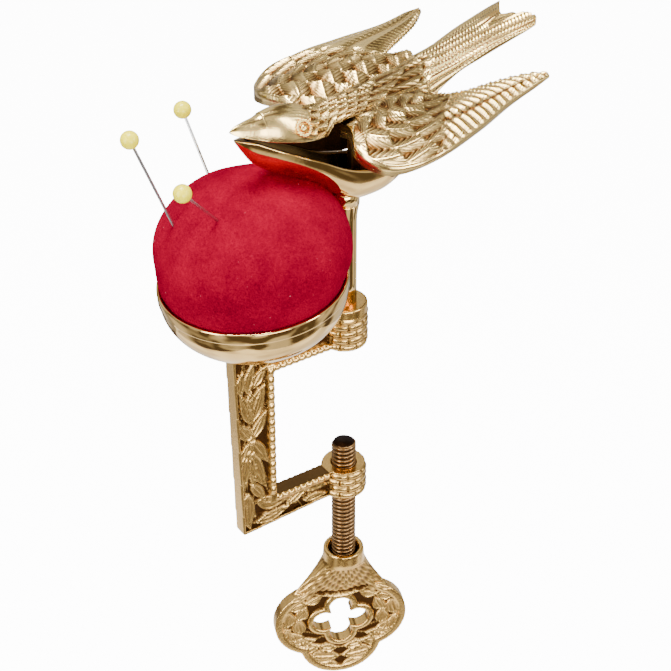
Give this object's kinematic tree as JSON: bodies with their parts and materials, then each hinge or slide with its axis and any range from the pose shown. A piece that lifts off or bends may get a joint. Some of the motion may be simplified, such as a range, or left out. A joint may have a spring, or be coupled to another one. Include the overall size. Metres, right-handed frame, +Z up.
{
  "type": "sewing bird clamp",
  "caption": "Cast brass sewing bird on a table clamp, with a spring-closed beak, a velvet pincushion in a cup and ball-headed pins.",
  "frame": {"origin": "on the screw axis, on the underside of the upper jaw, which rests on the table top", "axes": "+Z up along the screw; +X from the upright towards the screw, so the beak points along -X over the pincushion"},
  "size_m": [0.1082, 0.0591, 0.1836],
  "materials": {
    "cast_brass": "polished relief, darkened hollows",
    "polished_brass": "mirror polished",
    "bronze_screw": "satin, darkened",
    "steel": "bright",
    "velvet": "short-pile velvet",
    "stuffing": "wadding",
    "card": "matt",
    "pin_plastic": "glossy"
  },
  "bodies": {
    "frame": {"clamp_frame": "cast_brass", "bird_post": "polished_brass", "belly_screw": "steel", "bird_belly": "polished_brass", "hinge_pin": "steel", "beak_spring": "steel", "pincushion_cup": "polished_brass", "cup_washer": "polished_brass", "cup_screw": "steel", "cushion_base": "card", "cushion_filling": "stuffing", "cushion_cover": "velvet"},
    "back": {"bird_back": "cast_brass"},
    "screw": {"clamp_screw": "bronze_screw"},
    "handle": {"thumb_handle": "cast_brass"},
    "pin_1": {"pin_1_shaft": "steel", "pin_1_head": "pin_plastic"},
    "pin_2": {"pin_2_shaft": "steel", "pin_2_head": "pin_plastic"},
    "pin_3": {"pin_3_shaft": "steel", "pin_3_head": "pin_plastic"}
  },
  "joints": [
    {"name": "beak_hinge", "type": "hinge", "parent": "frame", "child": "back", "pos_m": [0.00599, 0.00042, 0.0545], "axis": [-0.0698, 0.9976, 0], "range_deg": [0, 20], "stiffness_Nm_per_rad": 0.13, "springref_deg": -21.2, "deforming": ["beak_spring"]},
    {"name": "screw_travel", "type": "slide", "parent": "frame", "child": "screw", "axis": [0, 0, 1], "range_m": [-0.00635, 0.01842]},
    {"name": "handle_turn", "type": "hinge", "parent": "screw", "child": "handle", "pos_m": [0, 0, -0.0665], "axis": [0, 0, 1], "range_deg": [-1810, 5230]},
    {"name": "pin_1_pull", "type": "slide", "parent": "frame", "child": "pin_1", "axis": [-0.35, 0.0536, 0.9352], "range_m": [0, 0.011]},
    {"name": "pin_2_pull", "type": "slide", "parent": "frame", "child": "pin_2", "axis": [-0.6447, -0.22, 0.7321], "range_m": [0, 0.0198]},
    {"name": "pin_3_pull", "type": "slide", "parent": "frame", "child": "pin_3", "axis": [-0.065, 0.5592, 0.8265], "range_m": [0, 0.0197]}
  ],
  "couplings": [
    {"joint": "handle_turn", "follows": "screw_travel", "rad_per_m": 4947.4}
  ]
}
